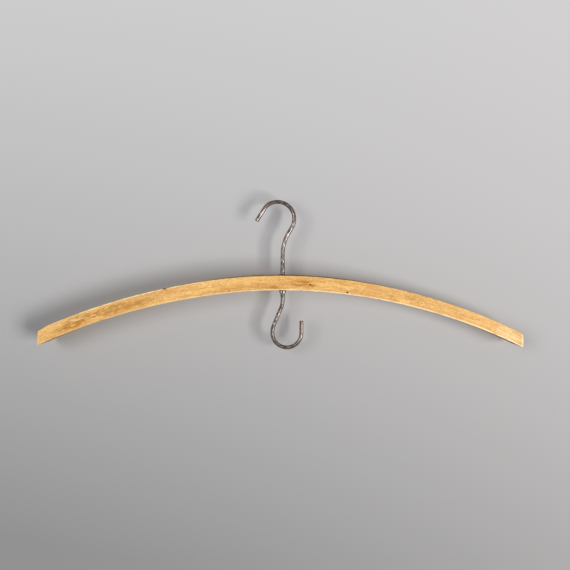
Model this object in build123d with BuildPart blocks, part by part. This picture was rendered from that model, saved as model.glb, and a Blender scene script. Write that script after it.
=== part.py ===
"""Wooden clothes hanger: a bent bar that hangs on a double-ended steel hook, on a washer and a collar.

Frame: +X along the bar, +Z up as the hanger hangs, front face towards -Y. The origin is where the
rail touches the inside of the upper hook's crown, half-way through the wire. Millimetres.
"""

import os
from math import cos, radians, sin, sqrt, tan

from build123d import *

# Bar. Each long edge is a crown arc over the middle and a tangent outer arc to either end.
BAR_LENGTH = 445.5  # between the lower corners of its ends
BAR_MIDDLE = 2.5  # X half-way between those corners
BAR_DEPTH = 25.0
BAR_HEIGHT = 13.7  # at its middle
CROWN_HALF_ANGLE = 7.5
UPPER_CROWN_RADIUS = 460.0
UPPER_LEFT_RADIUS = 583.0
UPPER_RIGHT_RADIUS = 515.0  # the right arm tapers a little towards its end
LOWER_LEFT_CROWN_RADIUS = 446.7
LOWER_LEFT_RADIUS = 584.0
LOWER_RIGHT_CROWN_RADIUS = 485.0
LOWER_RIGHT_RADIUS = 510.0
LEFT_LEAN = 4.0  # saw cuts, degrees from vertical, leaning inwards towards the top
RIGHT_LEAN = -1.0
CORNER_BEVEL = 1.8  # upper corner of the right end
EDGE_ROUND = 0.9  # worn edges

# Wire, from the tip of the upper hook to the end of the lower one
WIRE = 3.6
TIP_LENGTH = 14.0
SHOULDER_RADIUS = 12.1  # all radii are to the wire's centre
SHOULDER_ARC = 29.0
RAIL_RADIUS = 15.6
RAIL_ARC = 149.3
UPPER_SLOPE = 5.5  # straight run between the rail arc and the upper bend
UPPER_BEND_RADIUS = 39.7
UPPER_BEND = 31.1
FREE_SHANK = 18.8  # straight wire above the bar
LOWER_SHANK = 6.4  # straight wire below the collar
LOWER_BEND_RADIUS = 20.0
LOWER_BEND = 22.8
LOWER_SLOPE = 17.0
BELLY_RADIUS = 18.7
BELLY_ARC = 28.8
CRADLE_RADIUS = 13.55
LIMB_LENGTH = 11.4
WIRE_END_BEVEL = 0.3

# The shank is thicker where it passes through the bar
SHANK_RADIUS = 2.05
UPPER_TAPER = 13.0
LOWER_TAPER = 5.0

# Carrier under the bar
BORE_CLEARANCE = 0.3  # radial, round the shank
WASHER_CLEARANCE = 0.1
WASHER_OVERLAP = 1.0  # how far the washer reaches past the bar's bore
WASHER_THICKNESS = 0.9
COLLAR_WALL = 1.1
COLLAR_HEIGHT = 2.0
COLLAR_BEVEL = 0.4
STACK_GAP = 0.05  # bar, washer and collar bear on each other without overlapping

# Places, worked out from the crown of the upper hook
RAIL_CENTRE = WIRE / 2 - RAIL_RADIUS
BEND = radians(UPPER_BEND)
SWING = RAIL_RADIUS + UPPER_BEND_RADIUS
AXIS_X = SWING * cos(BEND) - UPPER_SLOPE * sin(BEND) - UPPER_BEND_RADIUS
SHANK_TOP = RAIL_CENTRE - SWING * sin(BEND) - UPPER_SLOPE * cos(BEND)
BAR_TOP = SHANK_TOP - FREE_SHANK
BAR_FOOT = BAR_TOP - BAR_HEIGHT
WASHER_TOP = BAR_FOOT - STACK_GAP
COLLAR_TOP = WASHER_TOP - WASHER_THICKNESS - STACK_GAP
SHANK_FOOT = COLLAR_TOP - COLLAR_HEIGHT - LOWER_SHANK
BORE_RADIUS = SHANK_RADIUS + BORE_CLEARANCE
HALF_LENGTH = BAR_LENGTH / 2

os.makedirs("parts", exist_ok=True)


def edge_drop(crown_radius, outer_radius, reach):
    """How far a long edge of the bar lies below its own middle at this reach from it."""
    turn = radians(CROWN_HALF_ANGLE)
    across = reach - (crown_radius - outer_radius) * sin(turn)
    centre = crown_radius + (outer_radius - crown_radius) * cos(turn)
    return centre - sqrt(outer_radius**2 - across**2)


def run_on(line, length):
    """A straight line that carries on from the end of another."""
    return Line(line @ 1, line @ 1 + line % 1 * length)


def bend_on(line, radius, turn):
    """A tangent arc that carries on from the end of another line, anticlockwise when positive."""
    return JernArc(start=line @ 1, tangent=line % 1, radius=radius, arc_size=turn)


def ring(top, thickness, outer_radius, inner_radius):
    """A flat ring round the shank's axis, in the part being built."""
    with BuildSketch(Plane.XY.offset(top - thickness)) as section:
        with Locations((AXIS_X, 0)):
            Circle(outer_radius)
            Circle(inner_radius, mode=Mode.SUBTRACT)
    extrude(section.sketch, amount=thickness)


# Bar: one outline, half of it from each side, extruded to the bar's depth
SIDES = (
    (-1, UPPER_LEFT_RADIUS, LOWER_LEFT_CROWN_RADIUS, LOWER_LEFT_RADIUS, LEFT_LEAN),
    (1, UPPER_RIGHT_RADIUS, LOWER_RIGHT_CROWN_RADIUS, LOWER_RIGHT_RADIUS, RIGHT_LEAN),
)
with BuildPart() as shoulder_bar:
    with BuildSketch(Plane.XZ):
        with BuildLine():
            for side, upper_radius, lower_crown, lower_radius, lean in SIDES:
                low_z = BAR_FOOT - edge_drop(lower_crown, lower_radius, HALF_LENGTH)
                high_z = BAR_TOP - edge_drop(UPPER_CROWN_RADIUS, upper_radius, HALF_LENGTH)
                reach = HALF_LENGTH - (high_z - low_z) * tan(radians(lean))
                high_z = BAR_TOP - edge_drop(UPPER_CROWN_RADIUS, upper_radius, reach)
                low_corner = Vector(BAR_MIDDLE + side * HALF_LENGTH, low_z)
                high_corner = Vector(BAR_MIDDLE + side * reach, high_z)
                turn = -side * CROWN_HALF_ANGLE
                upper = JernArc((BAR_MIDDLE, BAR_TOP), (side, 0), UPPER_CROWN_RADIUS, turn)
                lower = JernArc((BAR_MIDDLE, BAR_FOOT), (side, 0), lower_crown, turn)
                TangentArc(upper @ 1, high_corner, tangent=upper % 1)
                TangentArc(lower @ 1, low_corner, tangent=lower % 1)
                Line(low_corner, high_corner)
        make_face()
    extrude(amount=BAR_DEPTH / 2, both=True)
    end_edges = shoulder_bar.edges().filter_by(Axis.Y).sort_by(Axis.X)
    chamfer(end_edges[-2:].sort_by(Axis.Z)[-1], length=CORNER_BEVEL)
    end_edges = shoulder_bar.edges().filter_by(Axis.Y).sort_by(Axis.X)
    outline = shoulder_bar.faces().filter_by(Axis.Y).edges()
    fillet(outline + end_edges[:2] + end_edges[-3:], radius=EDGE_ROUND)
    with BuildSketch(Plane.XY.offset(BAR_FOOT - BAR_HEIGHT)):
        with Locations((AXIS_X, 0)):
            Circle(BORE_RADIUS)
    extrude(amount=3 * BAR_HEIGHT, mode=Mode.SUBTRACT)

# Hook wire: the upper hook, the lower hook, and the thicker shank between them
with BuildPart() as hook_wire:
    with BuildLine(Plane.XZ) as upper_hook:
        upper_bend = JernArc((AXIS_X, SHANK_TOP), (0, 0, 1), UPPER_BEND_RADIUS, -UPPER_BEND)
        slope = run_on(upper_bend, UPPER_SLOPE)
        rail_arc = bend_on(slope, RAIL_RADIUS, RAIL_ARC)
        shoulder = bend_on(rail_arc, SHOULDER_RADIUS, SHOULDER_ARC)
        tip = run_on(shoulder, TIP_LENGTH)
    with BuildSketch(Plane(origin=upper_bend @ 0, z_dir=upper_bend % 0)):
        Circle(WIRE / 2)
    sweep(path=upper_hook.line)
    with BuildLine(Plane.XZ) as lower_hook:
        lower_bend = JernArc((AXIS_X, SHANK_FOOT), (0, 0, -1), LOWER_BEND_RADIUS, -LOWER_BEND)
        slope = run_on(lower_bend, LOWER_SLOPE)
        belly = bend_on(slope, BELLY_RADIUS, BELLY_ARC)
        cradle = bend_on(belly, CRADLE_RADIUS, 180 + LOWER_BEND - BELLY_ARC)
        limb = run_on(cradle, LIMB_LENGTH)
    with BuildSketch(Plane(origin=lower_bend @ 0, z_dir=lower_bend % 0)):
        Circle(WIRE / 2)
    sweep(path=lower_hook.line)
    ends = [face for face in hook_wire.faces() if (face.center() - tip @ 1).length < WIRE / 4]
    ends += [face for face in hook_wire.faces() if (face.center() - limb @ 1).length < WIRE / 4]
    chamfer([edge for face in ends for edge in face.edges()], length=WIRE_END_BEVEL)
    with BuildSketch(Plane.XZ):
        with BuildLine():
            Polyline(
                (AXIS_X, SHANK_TOP),
                (AXIS_X + WIRE / 2, SHANK_TOP),
                (AXIS_X + SHANK_RADIUS, SHANK_TOP - UPPER_TAPER),
                (AXIS_X + SHANK_RADIUS, SHANK_FOOT + LOWER_TAPER),
                (AXIS_X + WIRE / 2, SHANK_FOOT),
                (AXIS_X, SHANK_FOOT),
                close=True,
            )
        make_face()
    revolve(axis=Axis((AXIS_X, 0, 0), (0, 0, 1)))

# Washer: loose on the shank, between the bar and the collar
with BuildPart() as thrust_washer:
    ring(WASHER_TOP, WASHER_THICKNESS, BORE_RADIUS + WASHER_OVERLAP, SHANK_RADIUS + WASHER_CLEARANCE)

# Collar: crimped on the shank, and carries the bar
with BuildPart() as stop_collar:
    ring(COLLAR_TOP, COLLAR_HEIGHT, SHANK_RADIUS + COLLAR_WALL, SHANK_RADIUS)
    rims = stop_collar.edges().filter_by(GeomType.CIRCLE).sort_by(SortBy.RADIUS)[-2:]
    chamfer(rims, length=COLLAR_BEVEL)

shoulder_bar.part.label = "shoulder_bar"
hook_wire.part.label = "hook_wire"
thrust_washer.part.label = "thrust_washer"
stop_collar.part.label = "stop_collar"
export_step(shoulder_bar.part, "parts/shoulder_bar.step")
export_step(hook_wire.part, "parts/hook_wire.step")
export_step(thrust_washer.part, "parts/thrust_washer.step")
export_step(stop_collar.part, "parts/stop_collar.step")

print("shank axis X", round(AXIS_X, 3), "shank", round(SHANK_TOP, 2), round(SHANK_FOOT, 2))
print("cradle bottom", round(hook_wire.part.bounding_box().min.Z, 3))
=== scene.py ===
"""Looks of the wooden clothes hanger: a worn bent bar and a browned steel hook wire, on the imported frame.

Lengths are in metres unless a comment says otherwise. Positions are in the row frame: +X along the bar,
+Z up, front face towards -Y, origin where the rail touches the inside of the upper hook.
"""

import math

import bmesh
import bpy
import numpy as np
from mathutils import Matrix, Vector, noise


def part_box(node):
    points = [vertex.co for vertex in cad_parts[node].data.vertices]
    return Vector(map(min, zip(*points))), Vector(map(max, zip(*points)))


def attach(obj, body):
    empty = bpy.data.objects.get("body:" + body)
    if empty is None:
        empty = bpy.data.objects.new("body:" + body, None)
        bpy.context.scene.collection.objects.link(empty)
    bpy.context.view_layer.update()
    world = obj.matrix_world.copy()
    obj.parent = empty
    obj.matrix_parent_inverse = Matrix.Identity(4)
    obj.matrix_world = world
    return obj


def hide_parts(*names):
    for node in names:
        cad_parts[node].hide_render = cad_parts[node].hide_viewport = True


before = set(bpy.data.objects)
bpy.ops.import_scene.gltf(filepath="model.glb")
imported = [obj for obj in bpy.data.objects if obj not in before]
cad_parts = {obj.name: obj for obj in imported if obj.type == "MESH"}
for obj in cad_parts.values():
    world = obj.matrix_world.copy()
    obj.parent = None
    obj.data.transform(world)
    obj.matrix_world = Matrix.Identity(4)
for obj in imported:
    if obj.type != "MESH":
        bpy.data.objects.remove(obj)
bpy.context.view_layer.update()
MM = 0.001


# ---------------------------------------------------------------- camera, light and backdrop
NODE_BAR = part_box("shoulder_bar")
WALL_PAINTED_LIGHT_LEVEL, WALL_PAINTED_LIGHT_LOWEST = 0.46, 0.27  # painted light: lightness of the wall at the origin, and at least everywhere
WALL_PAINTED_LIGHT_RISE, WALL_PAINTED_LIGHT_TURN = 0.50, -0.30  # painted light falloff: how the lightness grows upwards, and how that changes to the right
BACKDROP_GAP = 7.7 * MM  # behind the bar, so that the turned hook stays clear of it
CAMERA_AT = Vector((7.0, -490.5, -52.05)) * MM
CAMERA_TILT = math.radians(2.7)  # looks slightly down
CAMERA_LENS = 33.28  # mm on a 36 mm sensor
LIGHT_TARGET = (0.0, 0.0, -0.08)  # just under the bar's middle


def aim(thing, at, target):
    """Places a light and points it at the target."""
    thing.location = at
    thing.rotation_mode = "QUATERNION"
    thing.rotation_quaternion = (Vector(target) - Vector(at)).to_track_quat("-Z", "Y")


def make_camera():
    """Camera at the reference's viewing angle."""
    camera = bpy.data.objects.new("camera", bpy.data.cameras.new("camera"))
    bpy.context.collection.objects.link(camera)
    camera.data.lens = CAMERA_LENS
    camera.data.sensor_width = 36.0
    camera.data.clip_start = 0.01
    camera.location = CAMERA_AT
    camera.rotation_euler = (math.radians(90) - CAMERA_TILT, 0.0, 0.0)
    bpy.context.scene.camera = camera


def make_light(name, at, size, watts, colour):
    """A soft rectangular studio light."""
    lamp = bpy.data.lights.new(name, "AREA")
    lamp.shape = "RECTANGLE"
    lamp.size, lamp.size_y = size
    lamp.energy = watts
    lamp.color = colour
    light = bpy.data.objects.new(name, lamp)
    bpy.context.collection.objects.link(light)
    aim(light, at, LIGHT_TARGET)
    return light


def painted_light_paper_material():
    """Matt pale paper with painted light falloff: lighter upwards, most at the upper left, darker towards the
    lower left; clear when seen from behind.
    """
    paper = bpy.data.materials.new("backdrop")
    paper.use_nodes = True
    tree = paper.node_tree
    tree.nodes.clear()
    place = tree.nodes.new("ShaderNodeTexCoord")
    split = tree.nodes.new("ShaderNodeSeparateXYZ")
    tree.links.new(place.outputs["Object"], split.inputs[0])
    # painted light: the wall gets lighter upwards and darker downwards, more so on the left
    painted_light_slope = tree.nodes.new("ShaderNodeMath")
    painted_light_slope.operation = "MULTIPLY_ADD"
    painted_light_slope.inputs[1].default_value, painted_light_slope.inputs[2].default_value = WALL_PAINTED_LIGHT_TURN, WALL_PAINTED_LIGHT_RISE
    tree.links.new(split.outputs["X"], painted_light_slope.inputs[0])
    level = tree.nodes.new("ShaderNodeMath")
    level.operation = "MULTIPLY_ADD"
    level.inputs[2].default_value = WALL_PAINTED_LIGHT_LEVEL
    tree.links.new(split.outputs["Z"], level.inputs[0])
    tree.links.new(painted_light_slope.outputs[0], level.inputs[1])
    painted_light_tint = tree.nodes.new("ShaderNodeMix")
    painted_light_tint.data_type = "RGBA"
    painted_light_tint.inputs[6].default_value, painted_light_tint.inputs[7].default_value = (0, 0, 0, 1), (1.0, 0.985, 0.985, 1)
    painted_light_floor = tree.nodes.new("ShaderNodeMath")
    painted_light_floor.operation = "MAXIMUM"
    painted_light_floor.inputs[1].default_value = WALL_PAINTED_LIGHT_LOWEST
    tree.links.new(level.outputs[0], painted_light_floor.inputs[0])
    tree.links.new(painted_light_floor.outputs[0], painted_light_tint.inputs["Factor"])
    facing = tree.nodes.new("ShaderNodeNewGeometry")
    matt = tree.nodes.new("ShaderNodeBsdfDiffuse")
    tree.links.new(painted_light_tint.outputs[2], matt.inputs["Color"])
    clear = tree.nodes.new("ShaderNodeBsdfTransparent")
    mix = tree.nodes.new("ShaderNodeMixShader")
    out = tree.nodes.new("ShaderNodeOutputMaterial")
    tree.links.new(facing.outputs["Backfacing"], mix.inputs["Fac"])
    tree.links.new(matt.outputs["BSDF"], mix.inputs[1])
    tree.links.new(clear.outputs["BSDF"], mix.inputs[2])
    tree.links.new(mix.outputs["Shader"], out.inputs["Surface"])
    return paper


def make_stage():
    """Plain pale wall close behind the hanger, with painted light falloff, seen from its front side only, and
    the studio lights.
    """
    half, y = 2.0, NODE_BAR[1].y + BACKDROP_GAP
    mesh = bpy.data.meshes.new("backdrop")
    corners = [(-half, y, -half), (half, y, -half), (half, y, half), (-half, y, half)]
    mesh.from_pydata(corners, [], [(0, 1, 2, 3)])
    wall = bpy.data.objects.new("backdrop", mesh)
    bpy.context.collection.objects.link(wall)
    wall.visible_diffuse = wall.visible_glossy = wall.visible_shadow = False
    # the wall's material paints a light falloff on it
    mesh.materials.append(painted_light_paper_material())
    make_light("key_right", (1.02, -1.22, -0.40), (0.55, 0.75), 25.0, (1.0, 0.985, 0.97))
    make_light("fill_left", (-0.80, -1.35, 0.15), (0.80, 0.80), 13.0, (0.97, 0.985, 1.0))
    back = make_light("back_soft", (-0.50, 1.50, 0.35), (1.20, 1.20), 14.0, (1.0, 0.985, 0.97))
    back.visible_glossy = False
    world = bpy.data.worlds.new("studio")
    world.use_nodes = True
    world.node_tree.nodes["Background"].inputs["Color"].default_value = (0.93, 0.95, 1.0, 1)
    world.node_tree.nodes["Background"].inputs["Strength"].default_value = 0.14
    bpy.context.scene.world = world
    bpy.context.scene.view_settings.view_transform = "Standard"


# ---------------------------------------------------------------- mesh helpers
def new_piece(name, verts, faces):
    """A mesh piece with its faces turned outwards."""
    mesh = bpy.data.meshes.new(name)
    mesh.from_pydata([tuple(v) for v in verts], [], faces)
    shape = bmesh.new()
    shape.from_mesh(mesh)
    bmesh.ops.recalc_face_normals(shape, faces=shape.faces)
    shape.to_mesh(mesh)
    shape.free()
    piece = bpy.data.objects.new(name, mesh)
    bpy.context.collection.objects.link(piece)
    return piece


def settle(piece, body, node):
    """The piece rides on its body and stands for its CAD node, which it hides."""
    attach(piece, body)
    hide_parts(node)
    return piece


def cut(piece, cutter):
    """Takes the cutter's shape out of the piece for good."""
    work = piece.modifiers.new("cut", "BOOLEAN")
    work.operation, work.solver, work.object = "DIFFERENCE", "EXACT", cutter
    graph = bpy.context.evaluated_depsgraph_get()
    piece.data = bpy.data.meshes.new_from_object(piece.evaluated_get(graph))
    piece.modifiers.remove(work)
    bpy.data.objects.remove(cutter)


def tube_faces(rings, per_ring, closed_ends=True):
    """Quads that join rings of points, and a fan over each end whose centre point comes last."""
    faces = []
    for i in range(rings - 1):
        for j in range(per_ring):
            k = (j + 1) % per_ring
            a, b = i * per_ring, (i + 1) * per_ring
            faces.append((a + j, a + k, b + k, b + j))
    if closed_ends:
        first, last = rings * per_ring, rings * per_ring + 1
        for j in range(per_ring):
            k = (j + 1) % per_ring
            faces.append((k, j, first))
            faces.append(((rings - 1) * per_ring + j, (rings - 1) * per_ring + k, last))
    return faces


def store(piece, name, values):
    """Stores one vector or one number per vertex, for the material."""
    values = np.asarray(values, np.float32)
    kind, field = ("FLOAT_VECTOR", "vector") if values.ndim == 2 else ("FLOAT", "value")
    attribute = piece.data.attributes.new(name, kind, "POINT")
    attribute.data.foreach_set(field, values.ravel())


def rough(x, y=0.0, z=0.0, seed=0.0):
    """Smooth noise from -1 to 1."""
    return noise.noise(Vector((x, y, z + 31.7 * seed)))


def smooth_shade(piece, angle):
    """Smooth shading with creases over this angle, in degrees."""
    for face in piece.data.polygons:
        face.use_smooth = True
    piece.data.set_sharp_from_angle(angle=math.radians(angle))


# ---------------------------------------------------------------- bar
BAR_LENGTH = 445.5  # from here to the wire, in millimetres, as the CAD names them
BAR_MIDDLE = 2.5
BAR_DEPTH = 25.0
BAR_HEIGHT = 13.7
END_WEAR = 0.3  # worn off each end
CROWN_HALF_ANGLE = math.radians(7.5)
UPPER_CROWN = 460.0
# Radii of the long edges, lean of the end in degrees, and the stretch before the end over which
# the upper edge drops, by fall in each millimetre
ARMS = {
    -1: {"upper": 583.0, "lower_crown": 446.7, "lower": 584.0, "lean": 4.0, "bevel": 9.0, "fall": 0.13},
    1: {"upper": 515.0, "lower_crown": 485.0, "lower": 510.0, "lean": -1.0, "bevel": 2.0, "fall": 0.9},
}
STATION = 1.0  # between two sections
BAR_ROUND = 1.0  # of the end edges
EDGE_ROUND, EDGE_WEAR = 0.85, 0.45  # of the long edges, and how much more where they are worn
FACE_WAVE = 0.07  # half the depth of the waves in the surface
RIGHT_TAPER = 1.8  # how much lower the bar gets to its right end
MEAN_TAPER = 1.5  # a value that suits both arms
# Dents on the long edges: X, edge (1 upper, -1 lower), face (-1 front, 1 back), depth, half width
NICKS = (
    (-103.0, 1, -1, 0.9, 1.3),
    (22.0, -1, -1, 0.45, 2.2),
    (120.0, 1, -1, 0.35, 1.6),
    (-160.0, -1, -1, 0.4, 2.0),
)
WORM_HOLE = (64.0, -81.3)  # X, Z on the front face
WORM_BORE = ((0.72, -1.0), (0.68, 1.0), (0.6, 6.0))  # (radius, depth) down the hole
WORM_SLANT = -78  # degrees
BORE = 2.35  # radius
AXIS_X = (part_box("thrust_washer")[0].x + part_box("thrust_washer")[1].x) / 2 / MM
FACE_STEPS, TOP_STEPS, CORNER_STEPS = 14, 22, 5  # parts of a section's faces, top and corners


def edge_drop(reach, crown, outer):
    """How far a long edge of the bar lies below its own middle at this reach from it, in millimetres."""
    across = reach - (crown - outer) * math.sin(CROWN_HALF_ANGLE)
    centre = crown + (outer - crown) * math.cos(CROWN_HALF_ANGLE)
    radius = np.where(reach < crown * math.sin(CROWN_HALF_ANGLE), crown, outer)
    across = np.where(radius == crown, reach, across)
    centre = np.where(radius == crown, crown, centre)
    return centre - np.sqrt(radius**2 - across**2)


def bar_edges(share):
    """Upper and lower point (X, Z), in millimetres, of the section at this share of an arm, -1 to 1."""
    side = 1 if share > 0 else -1
    arm = ARMS[side]
    top = NODE_BAR[1].z / MM
    low_reach = abs(share) * (BAR_LENGTH / 2 - END_WEAR)
    low_z = top - BAR_HEIGHT - edge_drop(low_reach, arm["lower_crown"], arm["lower"])
    height = BAR_HEIGHT / math.cos(low_reach / arm["lower"])
    up_reach = low_reach - abs(share) * height * math.tan(math.radians(arm["lean"]))
    up_z = top - edge_drop(up_reach, UPPER_CROWN, arm["upper"])
    up_z -= arm["fall"] * max(0.0, abs(share) * BAR_LENGTH / 2 - (BAR_LENGTH / 2 - arm["bevel"]))
    return (BAR_MIDDLE + side * up_reach, float(up_z)), (BAR_MIDDLE + side * low_reach, float(low_z))


def rounded_section(height, depth, inset, radii):
    """Points (across, y) round a rounded rectangle: up the front, over, down the back and under.
    radii are for the corners upper front, upper back, lower back and lower front."""
    h, d = height / 2 - inset, depth / 2 - inset
    corners = (
        ((1, -1), 180.0, 90.0),
        ((1, 1), 90.0, 0.0),
        ((-1, 1), 0.0, -90.0),
        ((-1, -1), -90.0, -180.0),
    )
    points = []
    for n, ((a, y), start, end) in enumerate(corners):
        r = radii[n]
        centre = (a * (h - r), y * (d - r))
        for i in range(CORNER_STEPS + 1):
            turn = math.radians(start + (end - start) * i / CORNER_STEPS)
            points.append((centre[0] + r * math.sin(turn), centre[1] + r * math.cos(turn)))
        steps = TOP_STEPS if n % 2 == 0 else FACE_STEPS
        (na, ny), nr = corners[(n + 1) % 4][0], radii[(n + 1) % 4]
        if n % 2 == 0:
            target = (na * h, ny * (d - nr))
        else:
            target = (na * (h - nr), ny * d)
        here = points[-1]
        for i in range(1, steps):
            t = i / steps
            points.append((here[0] + (target[0] - here[0]) * t, here[1] + (target[1] - here[1]) * t))
    return points


def bar_stations():
    """(share of the arm, inset) of each section, close together over the worn end edges."""
    half = BAR_LENGTH / 2
    flat = np.arange(-half + BAR_ROUND, half - BAR_ROUND + 0.01, STATION)
    right = []
    for turn in np.radians(np.linspace(0, 90, 6))[1:-1]:
        short = BAR_ROUND - BAR_ROUND * math.sin(turn)
        right.append((1 - short / half, BAR_ROUND - BAR_ROUND * math.cos(turn)))
    right.append((1.0, BAR_ROUND))
    left = [(-s, inset) for s, inset in reversed(right)]
    return left + [(x / half, 0.0) for x in flat] + right


def bar_point(high, low, across, y, height):
    """Row-frame point, in millimetres, of a section's point."""
    t = across / height + 0.5
    return (low[0] + (high[0] - low[0]) * t, y, low[1] + (high[1] - low[1]) * t)


def nick_depth(x, across, y, height):
    """How far a point near a long edge is dented inwards."""
    total = 0.0
    for at, edge, face, depth, width in NICKS:
        away = math.hypot(across - edge * height / 2, y - face * BAR_DEPTH / 2)
        if away < 4:
            total += depth * math.exp(-(((x - at) / width) ** 2)) * math.exp(-((away / 1.1) ** 2))
    return total


def grain_place(x, y, z):
    """A point's place in the wood, in millimetres: along the bent grain, up from the lower edge, and back."""
    side = 1 if x > BAR_MIDDLE else -1
    arm, reach = ARMS[side], abs(x - BAR_MIDDLE)
    low_z = NODE_BAR[1].z / MM - BAR_HEIGHT - edge_drop(reach, arm["lower_crown"], arm["lower"])
    lean = math.asin(min(0.9, reach / arm["lower"]))
    return side * arm["lower"] * lean, (z - low_z) * math.cos(lean), y


def edge_wear_and_highlight_at(x, y, z):
    """How near a point lies to a pale edge, worn and with painted highlight: the long edges, the rims of the
    ends, and the end faces.
    """
    along, up, back = grain_place(x, y, z)
    reach = abs(x - BAR_MIDDLE)
    height = BAR_HEIGHT if x < BAR_MIDDLE else BAR_HEIGHT - RIGHT_TAPER * reach / (BAR_LENGTH / 2)
    from_long = math.hypot(max(0.0, min(up, height - up)), BAR_DEPTH / 2 - abs(back))
    from_end = BAR_LENGTH / 2 - END_WEAR - reach
    # painted highlight, with wear: the upper edge paler on the left and the lower edge paler on the right,
    # where the lights catch them
    if up > height / 2:
        rubbed = float(np.interp(x, (-150, -40, 60, 160), (1.0, 0.35, 0.2, 0.5)))
    else:
        rubbed = float(np.interp(x, (-180, -60, 10, 220), (0.35, 0.5, 0.8, 1.0)))
    long_edge_worn_and_lit = rubbed * math.exp(-((from_long / 1.0) ** 2))
    near_face = math.exp(-(((BAR_DEPTH / 2 - abs(back)) / 1.5) ** 2))
    rim = math.exp(-((from_end / 1.2) ** 2)) * (0.35 + 0.65 * near_face)
    end_face = 1.0 if from_end < 0.05 * reach / 100 + 0.4 else 0.0
    return long_edge_worn_and_lit, rim, end_face


def top_dust_and_shade(x, y, z):
    """1 on the bar's upper side, fading over its edges: painted shade, with some dirt, that darkens the wood
    there.
    """
    up = grain_place(x, y, z)[1]
    height = BAR_HEIGHT - MEAN_TAPER * abs(x - BAR_MIDDLE) / (BAR_LENGTH / 2)
    from_edge = BAR_DEPTH / 2 - abs(y)
    return min(1.0, max(0.0, up - height + 1.2) / 0.8) * min(1.0, max(0.0, from_edge - 0.1) / 0.5)


def round_bar(name, profile, centre, steps):
    """A solid turned round an upright axis from (radius, z) points, in millimetres."""
    verts = []
    for radius, z in profile:
        for i in range(steps):
            turn = 2 * math.pi * i / steps
            verts.append((centre[0] + radius * math.cos(turn), centre[1] + radius * math.sin(turn), z))
    verts += [(*centre, profile[0][1]), (*centre, profile[-1][1])]
    return new_piece(name, np.array(verts) * MM, tube_faces(len(profile), steps))


def bore_cutter():
    """The hook's bore, a little flared at both mouths where the wire has rubbed."""
    top = NODE_BAR[1].z / MM
    foot = top - BAR_HEIGHT
    profile = (
        (BORE + 1.6, foot - 1.6),
        (BORE + 0.3, foot - 0.1),
        (BORE, foot + 0.9),
        (BORE, top - 0.9),
        (BORE + 0.3, top + 0.1),
        (BORE + 1.6, top + 1.6),
    )
    return round_bar("bore", profile, (AXIS_X, 0.0), 48)


def worm_cutter():
    """A small worm hole that slants into the front face."""
    drill = round_bar("worm", WORM_BORE, (0.0, 0.0), 20)
    front = -BAR_DEPTH / 2 * MM
    place = Matrix.Translation((WORM_HOLE[0] * MM, front, WORM_HOLE[1] * MM))
    drill.data.transform(place @ Matrix.Rotation(math.radians(WORM_SLANT), 4, "X"))
    return drill


def make_bar():
    """The bent bar: rounded section with uneven wear, worn ends, dents, the hook's bore and a worm hole."""
    verts, per_ring = [], 0
    stations = bar_stations()
    for share, inset in stations:
        high, low = bar_edges(share)
        height = math.dist(high, low)
        x = low[0]
        worn = [EDGE_WEAR * max(0.0, rough(x / 34, n * 7.3, seed=1)) for n in range(4)]
        radii = [EDGE_ROUND + inset * 0.5 + wear for wear in worn]
        ring = rounded_section(height, BAR_DEPTH, inset, radii)
        per_ring = len(ring)
        for across, y in ring:
            hollow = FACE_WAVE * (1 + rough(x / 26, across / 9, y / 14, seed=2))
            dent = nick_depth(x, across, y, height)
            pull_a, pull_y = across / (height / 2), y / (BAR_DEPTH / 2)
            across -= pull_a**9 * (hollow + dent)
            y -= pull_y**9 * (hollow + dent)
            verts.append(bar_point(high, low, across, y, height))
    for share in (-1, 1):
        high, low = bar_edges(share)
        verts.append(bar_point(high, low, 0.0, 0.0, math.dist(high, low)))
    piece = new_piece("shoulder_bar_wood", np.array(verts) * MM, tube_faces(len(stations), per_ring))
    cut(piece, bore_cutter())
    cut(piece, worm_cutter())
    places = np.array([v.co for v in piece.data.vertices]) / MM
    store(piece, "grain", [grain_place(*p) for p in places])
    # wear: pale edges, partly wear and partly painted highlight; and the end faces
    store(piece, "wear", [edge_wear_and_highlight_at(*p) for p in places])
    # grime: painted shade, with some dirt, on the bar's upper side
    store(piece, "grime", [top_dust_and_shade(*p) for p in places])
    smooth_shade(piece, 40)
    return settle(piece, "bar", "shoulder_bar")


# ---------------------------------------------------------------- hook wire
WIRE_RADIUS = 1.8
SHANK_RADIUS = 2.05
WIRE_STEP = 0.4  # between two rings of points
WIRE_AROUND = 28  # points in a ring
RAIL_RADIUS = 15.6
# Runs of the wire from the tip of the upper hook: a length, or a radius and an angle, left turns positive
TIP_HEADING = 57.2
WIRE_RUNS = (
    ("line", 14.0),
    ("arc", 12.1, -29.0),
    ("arc", RAIL_RADIUS, -149.3),
    ("line", 5.5),
    ("arc", 39.7, 31.1),
    ("line", 41.9),
    ("arc", 20.0, -22.8),
    ("line", 17.0),
    ("arc", 18.7, 28.8),
    ("arc", 13.55, 174.0),
    ("line", 11.4),
)
SHANK_RUN = 5  # place of the shank among the runs
UPPER_TAPER, LOWER_TAPER = 13.0, 5.0
WIRE_END_BEVEL = 0.3
PIT_DEPTH, RUST_WAVE, BARE_WAVE = 0.26, 0.05, 0.035  # rust pits, and the wire's waves with and without rust


def run_length(run):
    """Length of a straight run or an arc of the wire."""
    return run[1] if run[0] == "line" else run[1] * math.radians(abs(run[2]))


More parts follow.
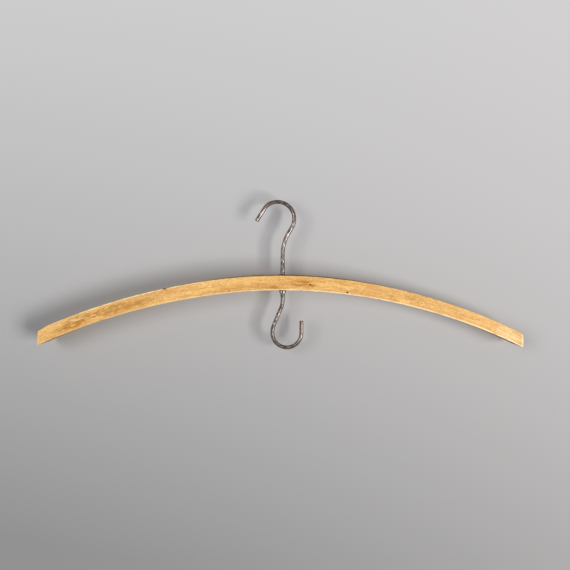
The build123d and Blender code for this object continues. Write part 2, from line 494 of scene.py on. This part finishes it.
def wire_line():
    """Points (X, Z), headings and distance along the wire's centre line, in millimetres and radians."""
    x, z, heading, points = 0.0, 0.0, math.radians(TIP_HEADING), []
    for run in WIRE_RUNS:
        length = run_length(run)
        bend = 0.0 if run[0] == "line" else math.radians(run[2]) / length
        steps = max(2, round(length / WIRE_STEP))
        for _ in range(steps):
            points.append((x, z, heading))
            step = length / steps
            middle = heading + bend * step / 2
            chord = step if bend == 0 else 2 / abs(bend) * math.sin(abs(bend) * step / 2)
            x, z, heading = x + chord * math.cos(middle), z + chord * math.sin(middle), heading + bend * step
    points.append((x, z, heading))
    points = np.array(points)
    shank = points[np.isclose(points[:, 2], -math.pi / 2)]
    points[:, 0] += AXIS_X - shank[0, 0]
    points[:, 1] += WIRE_RADIUS - points[:, 1].max()
    return points


def make_wire():
    """The hook wire: round, thicker and corroded at the shank, with square-cut ends."""
    line = wire_line()
    gaps = np.hypot(*np.diff(line[:, :2], axis=0).T)
    along = np.concatenate(([0.0], np.cumsum(gaps)))
    shank_start = sum(run_length(run) for run in WIRE_RUNS[:SHANK_RUN])
    shank_end = shank_start + run_length(WIRE_RUNS[SHANK_RUN])
    # Where the rust sets in, is full, starts to fade and has faded
    rust_places = (shank_start - 18, shank_start + 6, shank_end + 28, shank_end + 42)
    verts, places = [], []
    for (x, z, heading), s in zip(line, along):
        swell = np.interp(
            s,
            (shank_start, shank_start + UPPER_TAPER, shank_end - LOWER_TAPER, shank_end),
            (0.0, 1.0, 1.0, 0.0),
        )
        rust = float(np.interp(s, rust_places, (0, 1, 1, 0.2)))
        radius = WIRE_RADIUS + (SHANK_RADIUS - WIRE_RADIUS) * swell
        radius -= max(0.0, WIRE_END_BEVEL - min(s, along[-1] - s))
        for i in range(WIRE_AROUND):
            turn = 2 * math.pi * i / WIRE_AROUND
            side, back = math.cos(turn), math.sin(turn)
            pit = max(0.0, rough(s / 1.3, side * 1.5, back * 1.5, seed=4)) ** 1.5
            wave = 0.5 + 0.5 * rough(s / 9, side, back, seed=5)
            r = radius - rust * (PIT_DEPTH * pit + RUST_WAVE * wave) - BARE_WAVE * wave * (1 - rust)
            px = x - math.sin(heading) * side * r
            pz = z + math.cos(heading) * side * r
            verts.append((px, back * r, pz))
            places.append((s, turn * WIRE_RADIUS, rust))
    for end in (0, -1):
        verts.append((line[end, 0], 0.0, line[end, 1]))
        places.append((along[end], 0.0, 0.0))
    piece = new_piece("hook_wire_steel", np.array(verts) * MM, tube_faces(len(line), WIRE_AROUND))
    store(piece, "wire", places)
    smooth_shade(piece, 50)
    return settle(piece, "hook", "hook_wire")


# ---------------------------------------------------------------- washer and collar
# Inner radius, outer radius, height and edge round, in millimetres
WASHER_SIZES = (2.15, 3.33, 0.9, 0.3)
COLLAR_SIZES = (2.05, 3.13, 2.0, 0.4)
CRIMPS = 6  # dents pressed round the collar, one of them at its front
CRIMP_DEPTH = 0.3
RING_WAVE = 0.015  # half the depth of the waves in the surface


def crimp_at(turn):
    """1 in the middle of a crimp dent, 0 between two of them."""
    return max(0.0, -math.cos(CRIMPS * turn))


def make_ring(name, node, body, profile, crimp):
    """A turned ring from (radius, height) points round its section, with crimp marks pressed into its rim,
    and painted shade in the dents, or over all of a ring without crimps.
    """
    low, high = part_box(node)
    centre = ((low.x + high.x) / 2 / MM, 0.0)
    foot, steps = low.z / MM, 72
    verts, painted_shade_marks = [], []
    for radius, height in profile:
        for i in range(steps):
            turn = 2 * math.pi * i / steps
            # painted shade: the hollow value darkens the collar's crimp dents, and all of the washer
            painted_shade_marks.append(crimp_at(turn) if crimp else 1.0)
            press = crimp * crimp_at(turn) * (radius > profile[0][0])
            wave = RING_WAVE * (1 + rough(math.cos(turn) * 2, math.sin(turn) * 2, height, seed=6))
            r = radius - press - wave
            verts.append((centre[0] + r * math.cos(turn), centre[1] + r * math.sin(turn), foot + height))
    faces = tube_faces(len(profile), steps, closed_ends=False)
    last = (len(profile) - 1) * steps
    faces += [(last + j, last + (j + 1) % steps, (j + 1) % steps, j) for j in range(steps)]
    piece = new_piece(name, np.array(verts) * MM, faces)
    store(piece, "hollow", painted_shade_marks)
    smooth_shade(piece, 50)
    return settle(piece, body, node)


def ring_section(inner, outer, height, bevel):
    """Section of a ring with rounded outer corners: (radius, height) points."""
    points = [(inner, 0.0), (inner, height / 2), (inner, height)]
    for start in (90, 0):
        level = height - bevel if start == 90 else bevel
        for i in range(5):
            turn = math.radians(start - 90 * i / 4)
            points.append((outer - bevel + bevel * math.cos(turn), level + bevel * math.sin(turn)))
    return points


# ---------------------------------------------------------------- materials
class Nodes:
    """Short names for the nodes of one material."""

    def __init__(self, name):
        self.material = bpy.data.materials.new(name)
        self.material.use_nodes = True
        self.tree = self.material.node_tree
        self.shader = self.tree.nodes["Principled BSDF"]

    def add(self, kind, **settings):
        node = self.tree.nodes.new(kind)
        for key, value in settings.items():
            setattr(node, key, value)
        return node

    def feed(self, socket, value):
        if isinstance(value, bpy.types.NodeSocket):
            self.tree.links.new(value, socket)
        else:
            socket.default_value = value

    def attribute(self, name):
        return self.add("ShaderNodeAttribute", attribute_name=name).outputs["Vector"]

    def attribute_value(self, name):
        return self.add("ShaderNodeAttribute", attribute_name=name).outputs["Fac"]

    def noise_colour(self, vector):
        """Three noises from 0 to 1, as a colour."""
        node = self.add("ShaderNodeTexNoise")
        self.feed(node.inputs["Vector"], vector)
        node.inputs["Scale"].default_value = 1.0
        node.inputs["Detail"].default_value = 2.0
        return node.outputs["Color"]

    def split(self, vector):
        node = self.add("ShaderNodeSeparateXYZ")
        self.feed(node.inputs[0], vector)
        return node.outputs

    def scaled(self, vector, scale):
        node = self.add("ShaderNodeVectorMath", operation="MULTIPLY")
        self.feed(node.inputs[0], vector)
        self.feed(node.inputs[1], scale)
        return node.outputs[0]

    def noise(self, vector, detail=4.0, roughness=0.55, distortion=0.0):
        node = self.add("ShaderNodeTexNoise")
        self.feed(node.inputs["Vector"], vector)
        node.inputs["Scale"].default_value = 1.0
        node.inputs["Detail"].default_value = detail
        node.inputs["Roughness"].default_value = roughness
        node.inputs["Distortion"].default_value = distortion
        return node.outputs["Fac"]

    def math(self, operation, a, b=0.0, c=0.0):
        node = self.add("ShaderNodeMath", operation=operation)
        for socket, value in zip(node.inputs, (a, b, c)):
            self.feed(socket, value)
        return node.outputs[0]

    def ramp(self, value, low, high, to_low=0.0, to_high=1.0):
        node = self.add("ShaderNodeMapRange", interpolation_type="SMOOTHSTEP")
        names = ("Value", "From Min", "From Max", "To Min", "To Max")
        for name, item in zip(names, (value, low, high, to_low, to_high)):
            self.feed(node.inputs[name], item)
        return node.outputs["Result"]

    def mix(self, factor, a, b, blend="MIX"):
        node = self.add("ShaderNodeMix", data_type="RGBA", blend_type=blend)
        self.feed(node.inputs["Factor"], factor)
        self.feed(node.inputs[6], a)
        self.feed(node.inputs[7], b)
        return node.outputs[2]

    def spot(self, vector, centre, reach):
        """1 in the middle of an ellipsoid at centre, falling to 0 at its reach."""
        away = self.add("ShaderNodeVectorMath", operation="SUBTRACT")
        self.feed(away.inputs[0], vector)
        self.feed(away.inputs[1], centre)
        size = self.add("ShaderNodeVectorMath", operation="LENGTH")
        self.feed(size.inputs[0], self.scaled(away.outputs[0], tuple(1 / r for r in reach)))
        return self.ramp(size.outputs["Value"], 0.0, 1.0, 1.0, 0.0)

    def bump(self, height, distance, strength=1.0, normal=None):
        node = self.add("ShaderNodeBump")
        node.inputs["Strength"].default_value = strength
        node.inputs["Distance"].default_value = distance
        self.feed(node.inputs["Height"], height)
        if normal is not None:
            self.feed(node.inputs["Normal"], normal)
        return node.outputs["Normal"]


def rgb(red, green, blue):
    """Linear colour from 0-255 display values."""
    def line(c):
        c /= 255
        return c / 12.92 if c <= 0.04045 else ((c + 0.055) / 1.055) ** 2.4

    return (line(red), line(green), line(blue), 1.0)


# Stains on the front face: along the grain, up from the lower edge, half length, half height, strength
STAINS = (
    (-190.0, 6.4, 36.0, 9.0, 0.90),
    (-197.0, 4.8, 15.0, 3.4, 0.75),
    (-168.0, 8.0, 21.0, 4.8, 0.70),
    (-150.0, 6.4, 36.0, 9.0, 0.80),
    (-127.0, 5.4, 18.0, 5.0, 0.75),
    (-84.0, 9.0, 15.0, 3.0, 0.25),
    (-7.0, 2.8, 14.0, 3.2, 0.80),
    (4.0, 8.4, 11.0, 5.2, 0.60),
    (21.0, 6.8, 19.0, 6.2, 0.95),
    (28.0, 5.4, 9.0, 5.6, 0.55),
    (60.0, 9.0, 14.0, 3.4, 0.25),
    (103.0, 3.8, 9.0, 4.8, 0.65),
    (126.0, 7.6, 19.0, 6.0, 0.40),
    (166.0, 5.0, 15.0, 3.6, 0.25),
    (150.0, 6.0, 62.0, 10.0, 0.26),
    (205.0, 8.4, 10.0, 4.0, 0.20),
)
# Small dark specks, and painted shade in the worm hole (the last one): along, up, radius, strength
SPECKS_AND_HOLE_SHADE = (
    (27.4, 6.3, 1.1, 0.95),
    (29.2, 5.0, 0.8, 0.85),
    (25.6, 8.2, 0.7, 0.60),
    (-46.2, 2.0, 0.9, 0.65),
    (-89.0, 8.6, 0.6, 0.35),
    # painted shade in the worm hole
    (61.0, 1.9, 0.95, 1.0),
)
# Pale scratches and rubbed patches: along, up, half length, half height, strength
SCRATCHES = (
    (-186.0, 8.0, 9.0, 0.7, 0.9),
    (-193.0, 9.3, 5.0, 0.5, 0.6),
    (112.0, 9.0, 1.8, 0.6, 0.9),
    (214.0, 5.0, 20.0, 7.0, 0.45),
)
GRAIN_WARP = (0.0, 3.4, 2.0)  # how far the grain wanders, up and back; half of it is its mean shift

WOOD_LIGHT = rgb(234, 189, 116)
WOOD_DARK = rgb(207, 153, 80)
WOOD_DEEP = rgb(184, 127, 62)
WOOD_PALE = rgb(248, 211, 145)
WOOD_STAIN = rgb(172, 116, 38)
WOOD_FLECK = rgb(158, 106, 50)
# dark of the specks, and painted shade in the worm hole
WOOD_SPECK_AND_HOLE_SHADE = rgb(48, 22, 4)
# pale wood of worn edges and scratches, also a painted highlight on the lit edges
WOOD_WORN_AND_HIGHLIGHT = rgb(255, 236, 192)
WOOD_END = rgb(186, 134, 76)
# painted shade, with some dirt, for the bar's upper side
WOOD_DUST_AND_SHADE = rgb(116, 80, 44)


def wood_material():
    """Old oiled beech: streaks and flecks along the bent grain, stains, specks, scratches, worn edges with
    painted highlight, painted shade in the worm hole, and painted shade with some dirt over the upper side.
    """
    n = Nodes("old_beech")
    place, wear = n.attribute("grain"), n.split(n.attribute("wear"))
    warp = n.add("ShaderNodeVectorMath", operation="MULTIPLY_ADD")
    n.feed(warp.inputs[0], n.noise_colour(n.scaled(place, (0.055, 0.16, 0.12))))
    n.feed(warp.inputs[1], GRAIN_WARP)
    n.feed(warp.inputs[2], place)
    grain = warp.outputs[0]
    bands = n.noise(n.scaled(grain, (0.012, 0.36, 0.25)), 3.0, 0.5)
    streaks = n.noise(n.scaled(grain, (0.12, 1.05, 0.8)), 4.0, 0.65)
    fibres = n.noise(n.scaled(grain, (0.28, 7.0, 4.5)), 3.0, 0.6)
    flecks = n.noise(n.scaled(grain, (0.50, 2.1, 1.8)), 3.0, 0.6)
    pale = n.noise(n.scaled(grain, (0.42, -1.8, 1.5)), 3.0, 0.6)
    rays = n.noise(n.scaled(grain, (0.75, 6.2, 5.0)), 1.0, 0.5)
    cloud = n.noise(n.scaled(grain, (0.022, 0.07, 0.06)), 2.0, 0.5)
    tone = n.math("MULTIPLY_ADD", streaks, 0.6, n.math("MULTIPLY", bands, 0.4))
    colour = n.mix(n.ramp(tone, 0.40, 0.60), WOOD_DARK, WOOD_LIGHT)
    colour = n.mix(n.ramp(cloud, 0.46, 0.70, 0.0, 0.45), colour, WOOD_DEEP)
    colour = n.mix(n.ramp(flecks, 0.53, 0.63, 0.0, 0.62), colour, WOOD_DEEP)
    colour = n.mix(n.ramp(pale, 0.53, 0.64, 0.0, 0.72), colour, WOOD_PALE)
    colour = n.mix(n.ramp(fibres, 0.50, 0.74, 0.0, 0.28), colour, WOOD_DEEP)
    ragged = n.ramp(n.noise(n.scaled(grain, (0.14, 0.75, 0.6)), 4.0, 0.65), 0.34, 0.64)
    for along, up, half, high, strength in STAINS:
        mask = n.spot(place, (along, up, -BAR_DEPTH / 2), (half, high, 9.0))
        mask = n.math("MULTIPLY", mask, n.math("MULTIPLY_ADD", ragged, 0.95, 0.15))
        colour = n.mix(n.ramp(mask, 0.05, 0.80, 0.0, strength), colour, WOOD_STAIN)
    colour = n.mix(n.ramp(rays, 0.60, 0.70, 0.0, 0.60), colour, WOOD_FLECK)
    for along, up, half, high, strength in SCRATCHES:
        centre = (along, up + GRAIN_WARP[1] / 2, GRAIN_WARP[2] / 2 - BAR_DEPTH / 2)
        mask = n.spot(grain, centre, (half, high, 2.0))
        colour = n.mix(n.math("MULTIPLY", n.ramp(mask, 0.05, 0.5, 0.0, strength), pale), colour, WOOD_WORN_AND_HIGHLIGHT)
    # dark specks, and painted shade in the worm hole
    for along, up, radius, strength in SPECKS_AND_HOLE_SHADE:
        mask = n.spot(place, (along, up, -BAR_DEPTH / 2), (radius * 1.5, radius, 5.0))
        colour = n.mix(n.ramp(mask, 0.1, 0.7, 0.0, strength), colour, WOOD_SPECK_AND_HOLE_SHADE)
    patchy = n.ramp(n.noise(n.scaled(place, (0.16, 0.3, 0.3)), 4.0, 0.65), 0.36, 0.60)
    # pale edges: wear, and painted highlight along the lit edges
    edge = n.math("MULTIPLY", n.ramp(wear[0], 0.08, 0.55), n.math("MULTIPLY_ADD", patchy, 0.60, 0.40))
    edge = n.math("MAXIMUM", edge, n.math("MULTIPLY", wear[1], 0.95))
    colour = n.mix(n.math("MULTIPLY", edge, 0.9), colour, WOOD_WORN_AND_HIGHLIGHT)
    rings = n.noise(n.scaled(place, (0.3, 1.6, 0.35)), 4.0, 0.6)
    end = n.mix(n.ramp(rings, 0.4, 0.6), WOOD_END, WOOD_DARK)
    colour = n.mix(n.math("MULTIPLY", wear[2], 0.7), colour, end)
    # painted shade, with some dirt, darkens the bar's upper side
    dust_and_shade = n.math("MULTIPLY", n.attribute_value("grime"), n.ramp(ragged, 0.0, 1.0, 0.50, 0.80))
    colour = n.mix(dust_and_shade, colour, WOOD_DUST_AND_SHADE)
    n.feed(n.shader.inputs["Base Color"], colour)
    n.feed(n.shader.inputs["Roughness"], n.ramp(tone, 0.3, 0.7, 0.54, 0.42))
    n.shader.inputs["Specular IOR Level"].default_value = 0.22
    height = n.math("MULTIPLY_ADD", fibres, 0.6, n.math("MULTIPLY", rays, -0.5))
    n.feed(n.shader.inputs["Normal"], n.bump(height, 0.10 * MM, 0.55))
    return n.material


STEEL_BROWN = rgb(124, 106, 97)
STEEL_DARK = rgb(70, 56, 50)
# pale of rubbed patches, also a painted highlight along the wire
STEEL_RUBBED_AND_HIGHLIGHT = rgb(186, 176, 169)
STEEL_PLATE = rgb(120, 107, 100)
STEEL_RUST = rgb(46, 34, 29)
STEEL_BRIGHT = rgb(216, 208, 202)


def steel_material():
    """Browned bare wire: dark oxide with pale streaks along it, rubbed patches that are partly painted
    highlight, and a pitted shank with old plating in flakes.
    """
    n = Nodes("browned_steel")
    wire = n.attribute("wire")
    where = n.add("ShaderNodeTexCoord").outputs["Object"]
    rust = n.split(wire)[2]
    mottle = n.noise(n.scaled(where, (760.0, 760.0, 760.0)), 4.0, 0.6)
    flakes = n.noise(n.scaled(where, (1050.0, 1050.0, 950.0)), 3.0, 0.65)
    drawn_and_highlight = n.noise(n.scaled(wire, (0.30, 1.6, 1.0)), 3.0, 0.65)
    colour = n.mix(n.ramp(mottle, 0.40, 0.62), STEEL_BROWN, STEEL_DARK)
    # pale streaks along the wire: rubbed patches, partly painted highlight
    colour = n.mix(n.ramp(drawn_and_highlight, 0.50, 0.62, 0.0, 0.75), colour, STEEL_RUBBED_AND_HIGHLIGHT)
    plated = n.mix(n.ramp(mottle, 0.47, 0.55), STEEL_PLATE, STEEL_RUST)
    plated = n.mix(n.ramp(flakes, 0.585, 0.63), plated, STEEL_BRIGHT)
    colour = n.mix(n.ramp(rust, 0.2, 0.8), colour, plated)
    n.feed(n.shader.inputs["Base Color"], colour)
    dull = n.math("MULTIPLY", n.ramp(mottle, 0.42, 0.62), rust)
    n.feed(n.shader.inputs["Metallic"], n.ramp(dull, 0.0, 1.0, 0.52, 0.15))
    matt = n.math("MULTIPLY_ADD", dull, 0.3, 0.12)
    n.feed(n.shader.inputs["Roughness"], n.math("MULTIPLY_ADD", mottle, 0.16, matt))
    n.feed(n.shader.inputs["Normal"], n.bump(n.math("MULTIPLY_ADD", mottle, 0.5, flakes), 0.05 * MM, 0.5))
    return n.material


PLATE_LIGHT = rgb(226, 221, 213)
PLATE_DULL = rgb(178, 166, 154)
# painted shade for the collar's crimp dents and the washer
PLATE_PAINTED_SHADE = rgb(22, 16, 13)


def plate_material():
    """Dull plating on the washer and collar, with painted shade: nearly black in the collar's crimp dents and
    over all of the washer.
    """
    n = Nodes("worn_plate")
    where = n.add("ShaderNodeTexCoord").outputs["Object"]
    grime = n.noise(n.scaled(where, (520.0, 520.0, 900.0)), 4.0, 0.6)
    colour = n.mix(n.ramp(grime, 0.42, 0.66), PLATE_LIGHT, PLATE_DULL)
    # painted shade: nearly black in the collar's crimp dents and over all of the washer
    colour = n.mix(n.ramp(n.attribute_value("hollow"), 0.1, 0.5, 0.0, 0.97), colour, PLATE_PAINTED_SHADE)
    n.feed(n.shader.inputs["Base Color"], colour)
    n.shader.inputs["Metallic"].default_value = 0.4
    n.feed(n.shader.inputs["Roughness"], n.ramp(grime, 0.35, 0.7, 0.16, 0.42))
    n.feed(n.shader.inputs["Normal"], n.bump(grime, 0.03 * MM, 0.4))
    return n.material


# ---------------------------------------------------------------- the model
make_camera()
make_stage()
bar = make_bar()
bar.data.materials.append(wood_material())
wire = make_wire()
wire.data.materials.append(steel_material())
washer = make_ring("thrust_washer_steel", "thrust_washer", "washer", ring_section(*WASHER_SIZES), 0.0)
collar = make_ring("stop_collar_steel", "stop_collar", "hook", ring_section(*COLLAR_SIZES), CRIMP_DEPTH)
plate = plate_material()
for ring in (washer, collar):
    ring.data.materials.append(plate)
